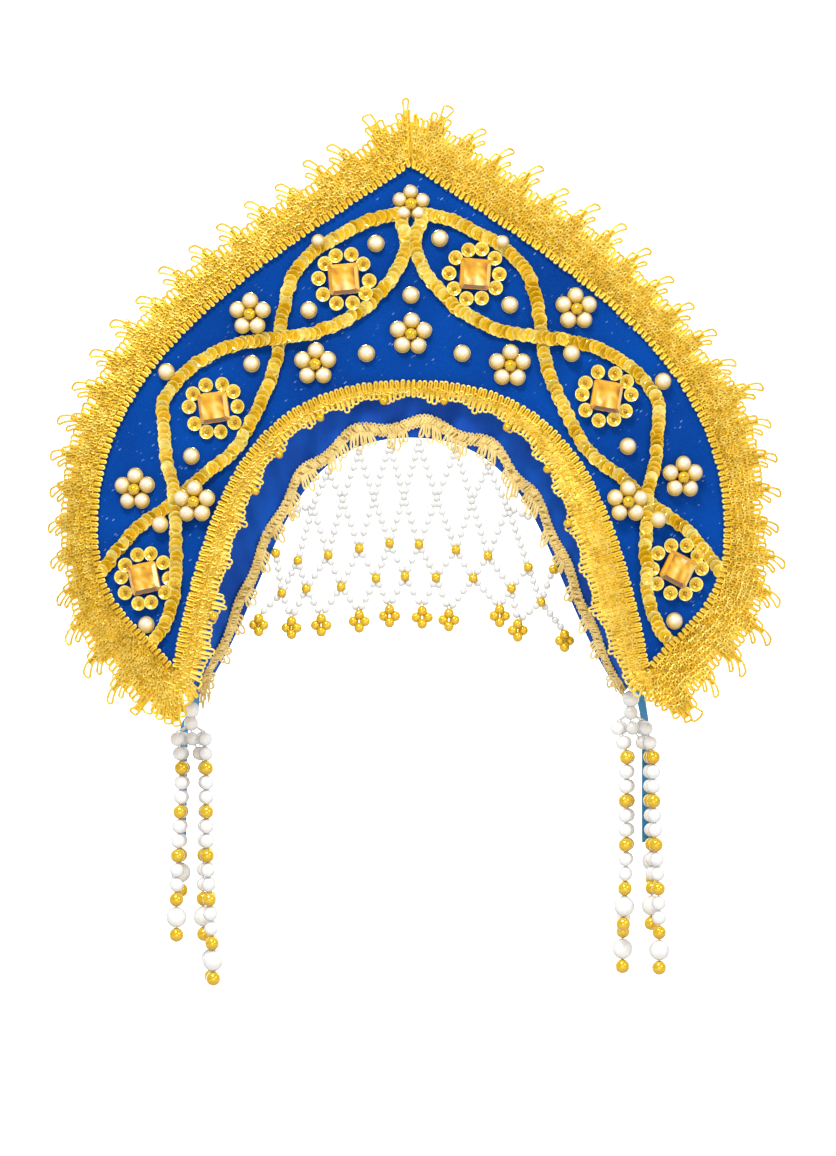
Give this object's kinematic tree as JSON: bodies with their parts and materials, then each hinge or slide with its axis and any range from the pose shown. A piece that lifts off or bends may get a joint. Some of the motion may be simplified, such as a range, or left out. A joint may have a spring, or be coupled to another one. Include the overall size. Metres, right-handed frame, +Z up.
{
  "type": "kokoshnik headdress",
  "caption": "Tall crest headdress: stiff velvet panel with gold lace, beads and stones, a band for the head, a bead net over the forehead and bead pendants at the temples.",
  "frame": {"origin": "where the band sits on the forehead, just above the middle of the band's lower edge", "axes": "+Z up to the crest, +Y to the back of the head, +X to the right of a viewer in front"},
  "size_m": [0.3046, 0.0521, 0.3582],
  "materials": {
    "velvet": "short pile velvet",
    "band_cloth": "gathered cloth",
    "gold_lace": "metallic thread lace",
    "pale_braid": "metallic thread braid",
    "seed_beads": "pearl gloss",
    "gold_sequin": "metallised gloss",
    "pearl": "pearl gloss",
    "amber": "cut and polished",
    "ribbon": "satin"
  },
  "bodies": {
    "root": {"band_braid": "pale_braid", "bead_net": "seed_beads", "crest_panel": "velvet", "flower_arch": "pearl", "flower_crest": "pearl", "flower_left_inner": "pearl", "flower_left_lower": "pearl", "flower_left_outer": "pearl", "flower_left_upper": "pearl", "flower_right_inner": "pearl", "flower_right_lower": "pearl", "flower_right_outer": "pearl", "flower_right_upper": "pearl", "headband": "band_cloth", "inner_lace": "gold_lace", "outer_lace": "gold_lace", "pearl_01": "pearl", "pearl_02": "pearl", "pearl_03": "pearl", "pearl_04": "pearl", "pearl_05": "pearl", "pearl_06": "pearl", "pearl_07": "pearl", "pearl_08": "pearl", "pearl_09": "pearl", "pearl_10": "pearl", "pearl_11": "pearl", "pearl_12": "pearl", "pearl_13": "pearl", "pearl_14": "pearl", "pearl_15": "pearl", "pearl_16": "pearl", "pearl_17": "pearl", "pearl_18": "pearl", "pearl_19": "pearl", "pendant_knot_left": "pearl", "pendant_knot_right": "pearl", "pendant_left_back_inner": "pearl", "pendant_left_back_outer": "pearl", "pendant_left_front_inner": "pearl", "pendant_left_front_outer": "pearl", "pendant_left_middle": "pearl", "pendant_right_back_inner": "pearl", "pendant_right_back_outer": "pearl", "pendant_right_front_inner": "pearl", "pendant_right_front_outer": "pearl", "pendant_right_middle": "pearl", "ribbon_left": "ribbon", "ribbon_right": "ribbon", "sequins_left_inner": "gold_sequin", "sequins_left_outer": "gold_sequin", "sequins_right_inner": "gold_sequin", "sequins_right_outer": "gold_sequin", "stone_left_low": "amber", "stone_left_middle": "amber", "stone_left_top": "amber", "stone_right_low": "amber", "stone_right_middle": "amber", "stone_right_top": "amber"}
  },
  "joints": []
}
